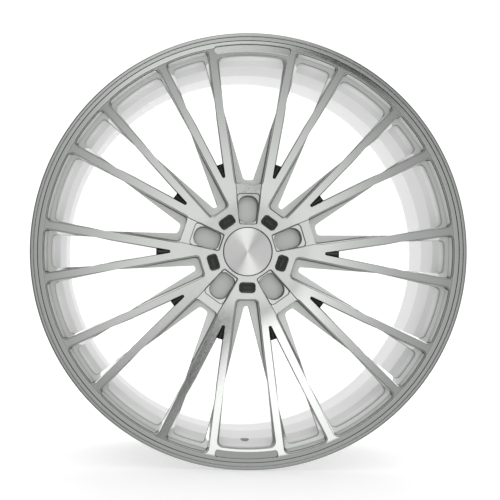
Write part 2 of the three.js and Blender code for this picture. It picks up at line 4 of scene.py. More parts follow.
import bpy
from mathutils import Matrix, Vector


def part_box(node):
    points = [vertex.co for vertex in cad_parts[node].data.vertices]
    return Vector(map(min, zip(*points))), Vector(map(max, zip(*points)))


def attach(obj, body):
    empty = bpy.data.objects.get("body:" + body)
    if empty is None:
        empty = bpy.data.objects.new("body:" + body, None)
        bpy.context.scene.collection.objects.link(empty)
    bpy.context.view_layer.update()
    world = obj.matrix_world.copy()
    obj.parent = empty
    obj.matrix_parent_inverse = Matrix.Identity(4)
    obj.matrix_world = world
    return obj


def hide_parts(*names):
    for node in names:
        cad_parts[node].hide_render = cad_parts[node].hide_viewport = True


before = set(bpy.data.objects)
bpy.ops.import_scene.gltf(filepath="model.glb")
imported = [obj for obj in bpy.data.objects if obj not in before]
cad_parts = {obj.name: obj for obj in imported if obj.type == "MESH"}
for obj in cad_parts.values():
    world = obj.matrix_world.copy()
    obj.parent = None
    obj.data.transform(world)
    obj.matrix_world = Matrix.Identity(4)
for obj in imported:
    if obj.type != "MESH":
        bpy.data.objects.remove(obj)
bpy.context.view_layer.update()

# %% [markdown]
# ## A forged wheel rim
# The wheel is a spun barrel with a machined centre bolted into it. It stands upright: the axle runs
# along Y, the street side faces -Y and +Z is up. Sizes below are in millimetres, because a wheel is
# drawn in millimetres, and one helper turns them to Blender's metres. "Level" is how far a point lies
# from the middle of the wheel towards the street side, so a level of 144 is the face of the ring.

# %% Sizes
MM = 0.001

BARREL_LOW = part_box("barrel")[0]
FRONT = -BARREL_LOW.y / MM          # level of the outboard flange face
FLANGE_RADIUS = 299.1
BEAD_SEAT = 281.8
FLANGE_ROOT = 133.35
RING_OUTER = 288.5                  # the centre's ring, in the barrel's register
RING_INNER = 282.4
RING_LEVEL = FRONT - 2.0
RING_BACK = RING_LEVEL - 5.7
HUB_LEVEL = RING_LEVEL - 44.0
FOOT_BACK = RING_LEVEL - 36.0
FLAT_RADIUS = 60.0                  # the hub's face is flat out to here
MOUNT_LEVEL = 45.0
MOUNT_RADIUS = 78.0
BOLT_CIRCLE = 255.7
WELL_INNER = 264.0
LEDGE_INNER = 273.0
WINDOW_REAR = 271.6
VALVE_LEVEL = FRONT - 60.0
VALVE_RADIUS = 5.65
print("outboard flange face at level", round(FRONT, 2))

# %% [markdown]
# ## Helpers for drawing
# Most of a wheel is turned on a lathe or milled from the front. So there are two ways to make a
# piece here: draw half of its section and spin it round the axle, or draw an outline seen from the
# street side and push it along the axle. Both need rounded corners, which `rounded` gives: each
# corner is a point and a fillet radius, and only fillets add points.

# %% Drawing helpers


def polar(radius, degrees):
    """A point on the wheel's face, from its radius and its angle from the right-hand side."""
    angle = math.radians(degrees)
    return Vector((radius * math.cos(angle), radius * math.sin(angle)))


def turned_by(point, degrees):
    """A point on the wheel's face, turned round the axle."""
    return polar(point.length, math.degrees(math.atan2(point.y, point.x)) + degrees)


def rounded(corners, steps=5):
    """An outline whose corners, given as (point, fillet), are rounded."""
    outline = []
    for index, (at, fillet) in enumerate(corners):
        before = Vector(corners[index - 1][0]) - Vector(at)
        after = Vector(corners[(index + 1) % len(corners)][0]) - Vector(at)
        if not fillet:
            outline.append(Vector(at))
            continue
        half = before.angle(after) / 2
        reach = min(fillet / math.tan(half), 0.45 * before.length, 0.45 * after.length)
        radius = reach * math.tan(half)
        middle = (before.normalized() + after.normalized()).normalized()
        centre = Vector(at) + middle * radius / math.sin(half)
        start = Vector(at) + before.normalized() * reach - centre
        end = Vector(at) + after.normalized() * reach - centre
        sweep = math.atan2(start.x * end.y - start.y * end.x, start.dot(end))
        for step in range(steps + 1):
            turn = sweep * step / steps
            outline.append(centre + Vector((
                start.x * math.cos(turn) - start.y * math.sin(turn),
                start.x * math.sin(turn) + start.y * math.cos(turn),
            )))
    return outline


def on_wheel(point, level):
    """From the wheel's face (right, up) and a level, in mm, to Blender's metres."""
    return Vector((point[0], -level, point[1])) * MM


def face_level(radius):
    """The concave face: flat at the hub, then a sweep that steepens out to the ring."""
    sweep = max(0.0, radius - FLAT_RADIUS) / (RING_INNER - FLAT_RADIUS)
    return min(RING_LEVEL, HUB_LEVEL + (RING_LEVEL - HUB_LEVEL) * sweep * sweep)


def back_level(radius):
    """The back of the spokes: a straight cone from the mounting pad to the spokes' feet."""
    start, end = MOUNT_RADIUS + 6, BOLT_CIRCLE - 14
    share = min(1.0, max(0.0, (radius - start) / (end - start)))
    return MOUNT_LEVEL + 6 + share * (FOOT_BACK - MOUNT_LEVEL - 6)


print("the face lies", round(RING_LEVEL - face_level(180), 1), "mm back half way along a spoke")

# %% [markdown]
# ## Turning and milling
# `turned` starts from a circle primitive with one vertex for each point of the section, moves the
# vertices onto the section, and spins it. `lofted` is for the shapes that taper along the axle: a
# stack of outlines with the same number of points, joined ring to ring. An operator such as Bridge
# Edge Loops could join them too, but it guesses which points belong together, and here they are
# already in order.

# %% Turning and milling helpers


def only(piece):
    """Selects this piece alone and makes it the active one."""
    bpy.ops.object.select_all(action="DESELECT")
    piece.select_set(True)
    bpy.context.view_layer.objects.active = piece
    return piece


def turned(name, section, steps):
    """A lathe piece: a closed section of (radius, level) points, spun round the axle."""
    bpy.ops.object.select_all(action="DESELECT")
    bpy.ops.mesh.primitive_circle_add(vertices=len(section), fill_type="NOTHING")
    piece = bpy.context.active_object
    piece.name = name
    for vertex, (radius, level) in zip(piece.data.vertices, section):
        vertex.co = on_wheel((radius, 0), level)
    bpy.ops.object.mode_set(mode="EDIT")
    bpy.ops.mesh.select_all(action="SELECT")
    bpy.ops.mesh.spin(steps=steps, angle=math.tau, center=(0, 0, 0), axis=(0, 1, 0))
    bpy.ops.mesh.select_all(action="SELECT")
    bpy.ops.mesh.remove_doubles(threshold=0.001 * MM)
    bpy.ops.mesh.normals_make_consistent(inside=False)
    bpy.ops.object.mode_set(mode="OBJECT")
    return piece


def lofted(name, rings):
    """A closed piece through a stack of rings, each a list of points in metres."""
    count = len(rings[0])
    faces = [tuple(range(count))[::-1]]
    for low in range(0, (len(rings) - 1) * count, count):
        for step in range(count):
            after = (step + 1) % count
            faces.append((low + step, low + after, low + count + after, low + count + step))
    faces.append(tuple(range((len(rings) - 1) * count, len(rings) * count)))
    mesh = bpy.data.meshes.new(name)
    mesh.from_pydata([point for ring in rings for point in ring], [], faces)
    piece = bpy.data.objects.new(name, mesh)
    bpy.context.scene.collection.objects.link(piece)
    only(piece)
    bpy.ops.object.mode_set(mode="EDIT")
    bpy.ops.mesh.select_all(action="SELECT")
    bpy.ops.mesh.normals_make_consistent(inside=False)
    bpy.ops.object.mode_set(mode="OBJECT")
    return piece


def joined(name, pieces):
    """Several pieces as one object."""
    only(pieces[0])
    for piece in pieces:
        piece.select_set(True)
    bpy.ops.object.join()
    bpy.context.active_object.name = name
    return bpy.context.active_object


def combined(piece, tool, operation):
    """Cuts the tool from the piece or adds it, and throws the tool away."""
    only(piece)
    modifier = piece.modifiers.new("cut", "BOOLEAN")
    modifier.object = tool
    modifier.operation = operation
    modifier.solver = "MANIFOLD"
    bpy.ops.object.modifier_apply(modifier="cut")
    bpy.data.objects.remove(tool)
    return piece


def smooth(piece, degrees=28):
    """Shades smoothly over gentle edges only, and lets the large faces lead the normals."""
    only(piece)
    bpy.ops.object.shade_smooth_by_angle(angle=math.radians(degrees))
    modifier = piece.modifiers.new("even", "WEIGHTED_NORMAL")
    modifier.keep_sharp = True
    bpy.ops.object.modifier_apply(modifier="even")
    return piece


def report(piece):
    print(piece.name, len(piece.data.vertices), "vertices,", len(piece.data.polygons), "faces")


def fit(piece, body, material, nodes):
    """Gives a finished piece its material, its body and the CAD nodes it stands for."""
    piece.data.materials.clear()
    piece.data.materials.append(material)
    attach(piece, body)
    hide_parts(*nodes)
    report(piece)


# %% [markdown]
# ## Camera
# A product picture of a wheel is taken from far away with a long lens, so that the rim looks round
# and the barrel behind it stays slim. This camera stands 1.6 m out from the flange, a little to the
# left of the axle and a little below it, and the lens brings the wheel to seven eighths of the frame.
# Part of the way back to the middle is lens shift and the rest is a turn, so the rim stays round.

# %% Camera
DISTANCE = 1600.0
CAMERA_SIDE = -83.0
CAMERA_DROP = -28.0
camera_data = bpy.data.cameras.new("camera")
camera_data.lens = 84.5
camera_data.shift_x = 0.05
camera_data.sensor_width = 36.0
camera = bpy.data.objects.new("camera", camera_data)
bpy.context.scene.collection.objects.link(camera)
camera.location = on_wheel((CAMERA_SIDE, CAMERA_DROP), FRONT + DISTANCE)
YAW, PITCH, ROLL = -1.785, 1.036, -0.85
camera.rotation_euler = (math.radians(90 + PITCH), math.radians(ROLL), math.radians(YAW))
bpy.context.scene.camera = camera
print("camera at", tuple(round(value, 3) for value in camera.location))

# %% [markdown]
# ## Materials
# Each material starts from the real one. One function turns sRGB hex to the linear colour that the
# shader wants, and another adds a node with its settings and links, so that a material reads as a
# short list.

# %% Material helpers


def linear(hex_colour):
    """sRGB hex to linear RGBA."""
    values = [int(hex_colour[place:place + 2], 16) / 255 for place in (1, 3, 5)]
    return tuple(v / 12.92 if v <= 0.04045 else ((v + 0.055) / 1.055) ** 2.4 for v in values) + (1.0,)


def add_node(material, kind, inputs=None, **settings):
    """Adds a node; an input that is a socket is linked, and any other is set."""
    tree = material.node_tree
    node = tree.nodes.new(kind)
    for key, value in settings.items():
        setattr(node, key, value)
    for key, value in (inputs or {}).items():
        if isinstance(value, bpy.types.NodeSocket):
            tree.links.new(value, node.inputs[key])
        else:
            node.inputs[key].default_value = value
    return node


def new_material(name, **shader):
    """A material whose Principled shader has these constant inputs."""
    material = bpy.data.materials.new(name)
    material.use_nodes = True
    principled = material.node_tree.nodes["Principled BSDF"]
    for key, value in shader.items():
        principled.inputs[key.replace("_", " ")].default_value = value
    return material, principled


def link(material, socket, target):
    material.node_tree.links.new(socket, target)


# %% [markdown]
# ### Two finishes on one forging
# The centre is painted silver all over, and then its street side goes back on the lathe, which cuts
# the paint off the concave face. So the face is bare metal and every pocket and window wall below it
# is paint. The border between the two isn't drawn by hand: a point is bare where it lies on the
# concave sweep, which the shader works out from the point's radius, or on a ledge that the same
# cutter left just below it and that faces the street. Light and shade are painted in too: the ledges
# carry a painted highlight that grows paler towards the rim, and the ring's face is painted darker
# than the sweep as painted shade. The paint turns dark grey in steep walls as painted shade, and the
# bore under the cap is painted near black for the shade in the gap round the cap. Lathe marks are
# about 0.1 mm apart, too fine to show, so the grain is noise at about 2 mm, which varies the gloss.

# %% Machined and painted forging
FACE_BAND = 0.35        # depth below the sweep that still counts as the face
LEDGE_BAND = 9.0        # a ledge that faces the street is bare too, down to this depth
RING_EDGE = 284.5
CAP_BORE = 35.2
SLOT_EDGE = 273.4
SLOT_REACH = 55.0       # how far the name slots run to each side


def calculate(material, operation, *values):
    """One Math node, from numbers and sockets."""
    return add_node(material, "ShaderNodeMath", dict(enumerate(values)), operation=operation).outputs[0]


def ramp(material, value, start, end, low=0.0, high=1.0):
    """Maps a value that runs from start to end onto low to high, clamped."""
    limits = {"Value": value, "From Min": start, "From Max": end, "To Min": low, "To Max": high}
    return add_node(material, "ShaderNodeMapRange", limits).outputs["Result"]


def blended(material, factor, first, second):
    """A colour between two others, each a socket or an sRGB hex."""
    colours = [linear(c) if isinstance(c, str) else c for c in (first, second)]
    inputs = {"Factor": factor, "A": colours[0], "B": colours[1]}
    return add_node(material, "ShaderNodeMix", inputs, data_type="RGBA").outputs["Result"]


def depth_below_face(material, place):
    """How far a point lies below the concave sweep, in metres, and its distance from the axle."""
    flat = add_node(
        material, "ShaderNodeVectorMath", {0: place.outputs["Object"], 1: (1, 0, 1)}, operation="MULTIPLY",
    )
    radius = add_node(
        material, "ShaderNodeVectorMath", {0: flat.outputs["Vector"]}, operation="LENGTH",
    ).outputs["Value"]
    sweep = ramp(material, radius, FLAT_RADIUS * MM, RING_INNER * MM)
    squared = calculate(material, "MULTIPLY", sweep, sweep)
    face = calculate(material, "MULTIPLY_ADD", squared, (RING_LEVEL - HUB_LEVEL) * MM, HUB_LEVEL * MM)
    y = add_node(material, "ShaderNodeSeparateXYZ", {"Vector": place.outputs["Object"]}).outputs["Y"]
    return calculate(material, "ADD", face, y), radius


def machined_forging():
    material, principled = new_material("machined_and_painted_forging")
    place = add_node(material, "ShaderNodeTexCoord")
    depth, radius = depth_below_face(material, place)
    normal = add_node(material, "ShaderNodeSeparateXYZ", {"Vector": place.outputs["Normal"]})
    position = add_node(material, "ShaderNodeSeparateXYZ", {"Vector": place.outputs["Object"]})
    facing = calculate(material, "LESS_THAN", normal.outputs["Y"], -0.9)
    on_face = calculate(material, "LESS_THAN", depth, FACE_BAND * MM)
    on_shelf = calculate(material, "LESS_THAN", depth, LEDGE_BAND * MM)
    in_ring = calculate(material, "LESS_THAN", radius, RING_EDGE * MM)
    in_bore = calculate(material, "LESS_THAN", radius, CAP_BORE * MM)
    below = calculate(material, "SUBTRACT", in_ring, in_bore)
    ledge = calculate(material, "MULTIPLY", on_shelf, calculate(material, "MULTIPLY", facing, below))
    bare = calculate(material, "MAXIMUM", on_face, ledge)
    grain = add_node(
        material, "ShaderNodeTexNoise",
        {"Vector": place.outputs["Object"], "Scale": 420.0, "Detail": 3.0, "Roughness": 0.6},
    ).outputs["Fac"]
    drift = add_node(
        material, "ShaderNodeTexNoise", {"Vector": place.outputs["Object"], "Scale": 14.0, "Detail": 2.0},
    ).outputs["Fac"]
    face = blended(material, drift, "#bfc1bf", "#cccecc")
    # painted shade: out on the ring the bare face is painted a darker grey than the sweep
    rim = ramp(material, radius, 0.2805, 0.2835)
    # painted highlight: the ledges are painted paler towards the rim, for the light their edges catch
    highlight_outward = ramp(material, radius, 0.12, 0.2)
    ledge_highlight_and_slot_tone = blended(material, highlight_outward, "#c6c8c6", "#f0f1f0")
    across = calculate(material, "ABSOLUTE", position.outputs["X"])
    in_reach = calculate(material, "LESS_THAN", across, SLOT_REACH * MM)
    past_edge = calculate(material, "GREATER_THAN", radius, SLOT_EDGE * MM)
    slot = calculate(material, "MULTIPLY", in_reach, past_edge)
    ledge_highlight_and_slot_tone = blended(material, slot, ledge_highlight_and_slot_tone, "#949694")
    edge = calculate(material, "SUBTRACT", 1.0, on_face)
    metal = blended(material, edge, blended(material, rim, face, "#989a98"), ledge_highlight_and_slot_tone)
    upright = calculate(material, "ABSOLUTE", normal.outputs["Y"])
    paint = blended(material, grain, "#cccfcc", "#d4d6d3")
    # painted shade: the paint is painted dark grey where a wall stands steep
    paint = blended(material, ramp(material, upright, 0.6, 0.35), paint, "#7f827e")
    # painted shade: the bore round the cap is painted near black, for the shade in the gap
    paint = blended(material, in_bore, paint, "#3a3c3b")
    link(material, blended(material, bare, paint, metal), principled.inputs["Base Color"])
    link(material, ramp(material, bare, 0, 1, 0.75, 1.0), principled.inputs["Metallic"])
    gloss = ramp(material, grain, 0.3, 0.7, 0.11, 0.16)
    rough = add_node(material, "ShaderNodeMix", {"Factor": bare, "A": 0.42, "B": gloss}).outputs["Result"]
    link(material, rough, principled.inputs["Roughness"])
    return material


# %% [markdown]
# ### Barrel
# The barrel has the same two finishes: a machined lip, and a very pale paint in the well, which is
# paler still towards the back. The slope under the front bead seat is painted a little darker as
# painted shade, and a hair of painted shade edges the valve hole on the inside. Outside, under the
# tyre, the barrel is plain silver, and so is the valve hole's wall.

# %% Barrel material
LIP_DEPTH = 7.8         # from the flange's face back to the end of the machined lip
SLOPE_DEPTH = 21.5      # from the ring's back to the end of the darker slope
VALVE_EDGE = 0.2        # width of the dark edge round the valve hole


def painted_barrel():
    material, principled = new_material("machined_and_painted_barrel")
    place = add_node(material, "ShaderNodeTexCoord")
    position = add_node(material, "ShaderNodeSeparateXYZ", {"Vector": place.outputs["Object"]})
    y = position.outputs["Y"]
    lip = calculate(material, "LESS_THAN", y, -(FRONT - LIP_DEPTH) * MM)
    slope = calculate(material, "LESS_THAN", y, -(RING_BACK - SLOPE_DEPTH) * MM)
    grit = add_node(
        material, "ShaderNodeTexNoise",
        {"Vector": place.outputs["Object"], "Scale": 900.0, "Detail": 2.0},
    ).outputs["Fac"]
    ledge = ramp(material, y, 0.0, 0.02)
    well = blended(material, ledge, blended(material, grit, "#eeeeee", "#f2f2f2"), "#fefefe")
    # painted shade: the slope under the front bead seat is painted a little darker than the well
    painted = blended(material, slope, well, blended(material, grit, "#dcdddc", "#e2e3e2"))
    from_hole = add_node(
        material, "ShaderNodeVectorMath",
        {0: place.outputs["Object"], 1: (1, 1, 0), 2: (0, VALVE_LEVEL * MM, 0)}, operation="MULTIPLY_ADD",
    )
    span = add_node(material, "ShaderNodeVectorMath", {0: from_hole.outputs[0]}, operation="LENGTH")
    valve = calculate(material, "LESS_THAN", span.outputs["Value"], (VALVE_RADIUS + VALVE_EDGE) * MM)
    lower = calculate(material, "LESS_THAN", position.outputs["Z"], -0.2)
    # painted shade: a hair round the valve hole is painted near black, for the dark of the hole
    painted = blended(material, calculate(material, "MULTIPLY", valve, lower), painted, "#1c1d1d")
    flat = add_node(
        material, "ShaderNodeVectorMath", {0: place.outputs["Object"], 1: (1, 0, 1)}, operation="MULTIPLY",
    ).outputs["Vector"]
    outwards = add_node(
        material, "ShaderNodeVectorMath", {0: flat, 1: place.outputs["Normal"]}, operation="DOT_PRODUCT",
    ).outputs["Value"]
    outside = calculate(material, "GREATER_THAN", outwards, -0.05)
    painted = blended(material, outside, painted, "#b3b5b3")
    metal = blended(material, grit, "#979997", "#a2a4a2")
    link(material, blended(material, lip, painted, metal), principled.inputs["Base Color"])
    link(material, ramp(material, lip, 0, 1, 0.1, 1.0), principled.inputs["Metallic"])
    link(material, ramp(material, lip, 0, 1, 0.5, 0.24), principled.inputs["Roughness"])
    bump = add_node(
        material, "ShaderNodeBump", {"Height": grit, "Strength": 0.05, "Distance": 0.0002},
    )
    link(material, bump.outputs["Normal"], principled.inputs["Normal"])
    return material


# %% [markdown]
# ### Spun cap
# A turned face has fine grooves round its centre. Each groove is a tiny mirror, so the highlight
# spreads across them into a bow tie. A radial tangent with a high anisotropy gives that, and rings
# in the bump give the marks themselves, at 1 mm where real ones are nearer 0.1 mm.

# %% Cap material


def spun_cap():
    material, principled = new_material(
        "turned_aluminium", Metallic=1.0, Roughness=0.38, Anisotropic=0.95, Anisotropic_Rotation=0.25,
    )
    place = add_node(material, "ShaderNodeTexCoord")
    rings = add_node(
        material, "ShaderNodeTexWave",
        {"Vector": place.outputs["Object"], "Scale": 320.0, "Distortion": 0.0},
        wave_type="RINGS", rings_direction="Y",
    )
    tone = add_node(
        material, "ShaderNodeMix",
        {"Factor": rings.outputs["Fac"], "A": linear("#dcdddb"), "B": linear("#ebeceb")},
        data_type="RGBA",
    )
    link(material, tone.outputs["Result"], principled.inputs["Base Color"])
    bump = add_node(
        material, "ShaderNodeBump", {"Height": rings.outputs["Fac"], "Strength": 0.05, "Distance": 0.0002},
    )
    link(material, bump.outputs["Normal"], principled.inputs["Normal"])
    tangent = add_node(material, "ShaderNodeTangent", direction_type="RADIAL", axis="Y")
    link(material, tangent.outputs["Tangent"], principled.inputs["Tangent"])
    return material


# %% [markdown]
# ### Black inserts, wire and bolts
# The inserts are moulded black nylon with a fine spark-eroded grain. The retaining ring is drawn
# spring wire and the bolts are zinc plated steel; both are out of sight once the wheel is built.

# %% Small materials


def moulded_black():
    material, principled = new_material("moulded_black_nylon", Roughness=0.2)
    place = add_node(material, "ShaderNodeTexCoord")
    grain = add_node(
        material, "ShaderNodeTexNoise", {"Vector": place.outputs["Object"], "Scale": 1400.0, "Detail": 2.0},
    )
    tone = add_node(
        material, "ShaderNodeMix",
        {"Factor": grain.outputs["Fac"], "A": linear("#141515"), "B": linear("#1f2020")},
        data_type="RGBA",
    )
    link(material, tone.outputs["Result"], principled.inputs["Base Color"])
    bump = add_node(
        material, "ShaderNodeBump", {"Height": grain.outputs["Fac"], "Strength": 0.15, "Distance": 0.0001},
    )
    link(material, bump.outputs["Normal"], principled.inputs["Normal"])
    return material


def plated_steel(name, dark, pale, roughness):
    material, principled = new_material(name, Metallic=1.0, Roughness=roughness)
    place = add_node(material, "ShaderNodeTexCoord")
    cloud = add_node(
        material, "ShaderNodeTexNoise", {"Vector": place.outputs["Object"], "Scale": 300.0, "Detail": 3.0},
    )
    tone = add_node(
        material, "ShaderNodeMix",
        {"Factor": cloud.outputs["Fac"], "A": linear(dark), "B": linear(pale)},
        data_type="RGBA",
    )
    link(material, tone.outputs["Result"], principled.inputs["Base Color"])
    return material


ALLOY = machined_forging()
BARREL_METAL = painted_barrel()
CAP_METAL = spun_cap()
BLACK = moulded_black()
ZINC = plated_steel("zinc_plated_steel", "#9b9ea1", "#b4b7b9", 0.35)
WIRE = plated_steel("drawn_spring_wire", "#84878a", "#999c9f", 0.3)
print("materials:", [m.name for m in (ALLOY, BARREL_METAL, CAP_METAL, BLACK, ZINC, WIRE)])

# %% [markdown]
# ## Spoke layout
# The centre repeats five times. In each fifth, counted from a lug pocket, a spoke's foot stands at
# 11.4 degrees and another at 26.3, and the two part from one arm at 18.7 degrees. So the windows
# come in three kinds: A over a lug pocket, B between two lug pockets, and the narrow C inside an arm.

# %% Spoke layout
SETS = 5
LUG_ANGLES = [90 + 72 * place for place in range(SETS)]
SPOKE_ANGLES = (11.4, 26.3)
SPOKE_WIDTH = 9.6
HALF_FACE = math.degrees(math.asin(SPOKE_WIDTH / 2 / RING_INNER))
CROTCH_ANGLE = 18.7
CROTCH_RADIUS = 99.0
FLARE = {"A": 3.0, "B": 3.0, "C": 7.5}    # how far a foot spreads into each window, behind
FOOT_SHIFT = math.degrees((FLARE["C"] - FLARE["A"]) / 2 / WINDOW_REAR)
SLOT_RING = 11.4                          # how much wider the ring is where it carries a slot
BOLT_ANGLES = [
    lug + hand * angle
    for lug in LUG_ANGLES
    for hand in (1, -1)
    for angle in (SPOKE_ANGLES[0] + FOOT_SHIFT, SPOKE_ANGLES[1] - FOOT_SHIFT)
]
print(len(BOLT_ANGLES), "spokes")

# %% [markdown]
# ## Window cutters
# A window isn't a plain hole. From the street side it has a small step and a narrow ledge, then a
# steep wall, then a nearly flat floor round the opening, which is what makes the arms look thin on
# top and strong underneath. So each cutter is a stack of rings with the same points: the opening,
# the foot of the wall, the two sides of the ledge, and the edge on the face.
# Where the opening behind comes close to the edge on the face, the ledge fades out.

# %% Window cutters
STEP_DEPTH = 2.0
LEDGE_WIDTH = 0.9
WALL_RUN = 3.6          # from the edge on the face in to the foot of the steep wall
WALL_SHARE = 0.30       # share of the spoke's depth that the steep wall takes
FLOOR_SHARE = 0.315     # the same at the opening, so that the floor slopes a little
CORNER_ROOM = 20.0      # kept free of points beside a corner, so that its fillet fits


def along(start, end, steps):
    return [start.lerp(end, step / steps) for step in range(steps)]


def at_radius(start, end, radius):
    """The point on the line from start to end that lies this far from the axle, nearly."""
    return start.lerp(end, (radius - start.length) / (end.length - start.length))


def side_points(side, outer, steps):
    """A side of a window, from the hub out: its edge on the face and its edge behind."""
    face_foot = polar(outer, side["angle"])
    spread = math.degrees(side["flare"] / WINDOW_REAR) * side["towards"]
    rear_foot = polar(WINDOW_REAR, side["angle"] + spread)
    meet = at_radius(side["inner"], face_foot, side["meet"])
    face = along(side["inner"], meet, steps) + along(meet, face_foot, steps)[:-1] + [face_foot]
    rear = along(side["rear_inner"], meet, steps) + along(meet, rear_foot, steps)[:-1] + [rear_foot]
    return face, rear


def grown(outline, margin):
    """An outline moved outwards by a margin, along the mean of its neighbouring edges' normals."""
    moved = []
    for index, point in enumerate(outline):
        before = (point - outline[index - 1]).normalized()
        after = (outline[(index + 1) % len(outline)] - point).normalized()
        normal = Vector((before.y + after.y, -before.x - after.x)).normalized()
        moved.append(point + normal * margin / max(0.5, normal.dot(Vector((after.y, -after.x)))))
    return moved


def window_rings(left, right, outer, fillets, steps=8):
    """The rings of one window's cutter, from the back to the front."""
    right_face, right_rear = side_points(right, outer, steps)
    left_face, left_rear = side_points(left, outer, steps)
    room = math.degrees(CORNER_ROOM / outer)
    first, span = right["angle"] + room, left["angle"] - right["angle"] - 2 * room
    arc = [first + span * step / 8 for step in range(9)]
    last = len(right_face) - 1
    face = [(p, fillets[n == last] if n in (0, last) else 0) for n, p in enumerate(right_face)]
    face += [(polar(outer, angle), 0) for angle in arc]
    face += [
        (p, fillets[n == last] if n in (0, last) else 0)
        for n, p in reversed(list(enumerate(left_face)))
    ]
    rear_points = right_rear + [polar(WINDOW_REAR, angle) for angle in arc] + left_rear[::-1]
    rear = [(point, fillet) for point, (_, fillet) in zip(rear_points, face)]
    face, rear = rounded(face), rounded(rear)
    wall, ledge = [], []
    inner = grown(face, -0.5 - LEDGE_WIDTH)
    for front, back, near in zip(face, rear, inner):
        gap = max(0.01, (back - front).length)
        wall.append(front.lerp(back, min(0.8, WALL_RUN / gap)))
        ledge.append(front.lerp(near, min(1.0, gap / 4)))
    step = [a.lerp(b, 0.4) for a, b in zip(face, ledge)]
    raised = grown(face, 0.3)

    def levels(points, share, drop=0.0):
        return [
            on_wheel(p, face_level(p.length) * (1 - share) + back_level(p.length) * share - drop)
            for p in points
        ]

    return [
        [on_wheel(p, MOUNT_LEVEL - 20) for p in rear],
        levels(rear, FLOOR_SHARE),
        levels(wall, WALL_SHARE),
        levels(ledge, 0.0, STEP_DEPTH + 0.2),
        levels(step, 0.0, STEP_DEPTH),
        levels(raised, 0.0),
        [on_wheel(p, FRONT + 40) for p in raised],
    ]


def even_window(size, degrees, edge, outer):
    """A window that is the same on both sides of its middle line."""
    sides = []
    for hand in (1, -1):
        sides.append({
            "inner": turned_by(Vector((size["inner"], hand * size["half"])), degrees),
            "rear_inner": turned_by(Vector((size["rear_inner"], hand * size["rear_half"])), degrees),
            "angle": degrees + hand * edge,
            "towards": -hand,
            "flare": size["flare"],
            "meet": size["meet"],
        })
    return window_rings(sides[0], sides[1], outer, (6.0, size["fillet"]))


def narrow_sides(lug, hand):
    """The two sides of the window inside an arm, the left one first."""
    crotch = polar(CROTCH_RADIUS, lug + hand * CROTCH_ANGLE)
    edges = [lug + hand * (SPOKE_ANGLES[0] + HALF_FACE), lug + hand * (SPOKE_ANGLES[1] - HALF_FACE)]
    sides = []
    for order, angle in enumerate(sorted(edges, reverse=True)):
        foot = polar(RING_INNER, angle)
        sides.append({
            "inner": at_radius(crotch, foot, 109.1),
            "rear_inner": at_radius(crotch, foot, 126.0),
            "angle": angle,
            "towards": -1 if order == 0 else 1,
            "flare": FLARE["C"],
            "meet": 217.0,
        })
    return sides


WINDOW_A = {"inner": 93.2, "half": 19.5, "rear_inner": 101.6, "rear_half": 7.1,
            "meet": 200.0, "flare": FLARE["A"], "fillet": 8.0}
WINDOW_B = {"inner": 66.8, "half": 15.8, "rear_inner": 77.0, "rear_half": 3.4,
            "meet": 186.0, "flare": FLARE["B"], "fillet": 8.0}
EDGE_A = SPOKE_ANGLES[0] - HALF_FACE
EDGE_B = 36 - SPOKE_ANGLES[1] - HALF_FACE

cutters = []
for lug in LUG_ANGLES:
    top = lug == 90
    bottom = (lug + 36) % 360 == 270
    rings = even_window(WINDOW_A, lug, EDGE_A, RING_INNER - SLOT_RING * top)
    cutters.append(lofted("window_a", rings))
    rings = even_window(WINDOW_B, lug + 36, EDGE_B, RING_INNER - SLOT_RING * bottom)
    cutters.append(lofted("window_b", rings))
    for hand in (1, -1):
        left, right = narrow_sides(lug, hand)
        cutters.append(lofted("window_c", window_rings(left, right, RING_INNER, (1.6, 6.5))))
print(len(cutters), "window cutters")

# %% [markdown]
# ## Wheel centre
# The blank is turned first, as the real one is: a thick hub pad, a thin concave disc and a ring that
# drops into the barrel. Then the windows are cut, and after them the pockets, which are milled from
# the front: five lug pockets with an oval pad at the bottom, five seats for the black inserts, ten
# crotch seats for the wedges, and two shallow slots in the ring.

# %% Turn the centre's blank
BLANK_STEPS = 360


def centre_section():
    face = [
        (radius, face_level(radius))
        for radius in [RING_INNER + (FLAT_RADIUS - RING_INNER) * step / 36 for step in range(37)]
    ]
    corners = [
        ((33.3, MOUNT_LEVEL), 0.8), ((MOUNT_RADIUS, MOUNT_LEVEL), 1.5),
        ((MOUNT_RADIUS + 6, MOUNT_LEVEL + 6), 3.0), ((BOLT_CIRCLE - 14, FOOT_BACK), 3.0),
        ((267.9, FOOT_BACK), 1.0), ((270.3, RING_BACK - 21), 0), ((279.5, RING_BACK), 0),
        ((RING_OUTER, RING_BACK), 0), ((RING_OUTER, RING_LEVEL), 0.6),
    ]
    corners += [(point, 0) for point in face]
    corners += [
        ((34.6, HUB_LEVEL), 0.6), ((34.6, HUB_LEVEL - 5.6), 0), ((31.0, HUB_LEVEL - 5.6), 0),
        ((31.0, HUB_LEVEL - 24.3), 0), ((33.3, HUB_LEVEL - 26.3), 0),
    ]
    return rounded(corners, 4)


centre = turned("wheel_centre_forging", centre_section(), BLANK_STEPS)
report(centre)

# %% Cut the windows
centre = combined(centre, joined("window_tools", cutters), "DIFFERENCE")
report(centre)

# %% Mill the lug pockets
SHELF = HUB_LEVEL - 8.0
PAD_LEVEL = SHELF - 22.0


def milled(name, outline, floor, degrees=0.0, edge=0.7, lean=0.0):
    """A cutter for a pocket: an upright or leaning wall with a chamfer at the hub's face."""
    def ring(points, level):
        return [on_wheel(turned_by(point, degrees), level) for point in points]

    return lofted(name, [
        ring(grown(outline, -lean), floor),
        ring(outline, HUB_LEVEL - edge),
        ring(grown(outline, edge), HUB_LEVEL),
        ring(grown(outline, edge), HUB_LEVEL + 30),
    ])


